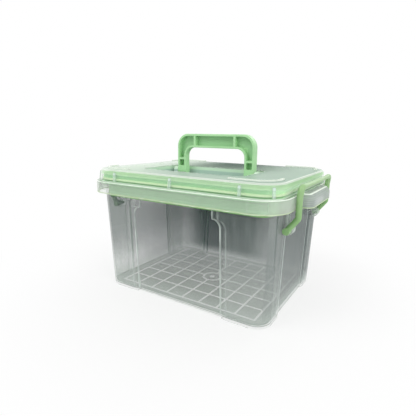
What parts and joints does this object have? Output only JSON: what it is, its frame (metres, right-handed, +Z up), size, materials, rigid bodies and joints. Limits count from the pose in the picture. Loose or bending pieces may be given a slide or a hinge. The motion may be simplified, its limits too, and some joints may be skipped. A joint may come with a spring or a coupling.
{
  "type": "storage box",
  "caption": "Clear lidded storage box with a lift-out tray under the lid, a folding carry handle and swinging end latches.",
  "frame": {"origin": "centre of the box at the level of its feet", "axes": "+Z up, +X along the long side, the front, towards which the handle folds, facing -Y"},
  "size_m": [0.308, 0.222, 0.2185],
  "materials": {
    "clear_tub": "clear, glossy",
    "clear_lid": "clear, glossy",
    "green_tray": "satin",
    "green_handle": "satin",
    "green_latch": "satin"
  },
  "bodies": {
    "tub": {"body": "clear_tub"},
    "cover": {"lid": "clear_lid"},
    "insert": {"tray": "green_tray"},
    "handle": {"carry_handle": "green_handle"},
    "right_latch": {"latch_right": "green_latch"},
    "left_latch": {"latch_left": "green_latch"}
  },
  "joints": [
    {"name": "lid_lift", "type": "slide", "parent": "tub", "child": "cover", "axis": [0, 0, 1], "range_m": [0, 0.06]},
    {"name": "tray_lift", "type": "slide", "parent": "tub", "child": "insert", "axis": [0, 0, 1], "range_m": [0, 0.03]},
    {"name": "handle_fold", "type": "hinge", "parent": "cover", "child": "handle", "pos_m": [0, 0.002, 0.165], "axis": [1, 0, 0], "range_deg": [0, 90]},
    {"name": "latch_right_swing", "type": "hinge", "parent": "tub", "child": "right_latch", "pos_m": [0.13236, 0, 0.1139], "axis": [0, 1, 0], "range_deg": [0, 135]},
    {"name": "latch_left_swing", "type": "hinge", "parent": "tub", "child": "left_latch", "pos_m": [-0.13236, 0, 0.1139], "axis": [0, -1, 0], "range_deg": [0, 135]}
  ],
  "couplings": [
    {"joint": "tray_lift", "follows": "lid_lift", "ratio": 0.5},
    {"joint": "latch_right_swing", "follows": "lid_lift", "rad_per_m": 39.27},
    {"joint": "latch_left_swing", "follows": "lid_lift", "rad_per_m": 39.27}
  ]
}
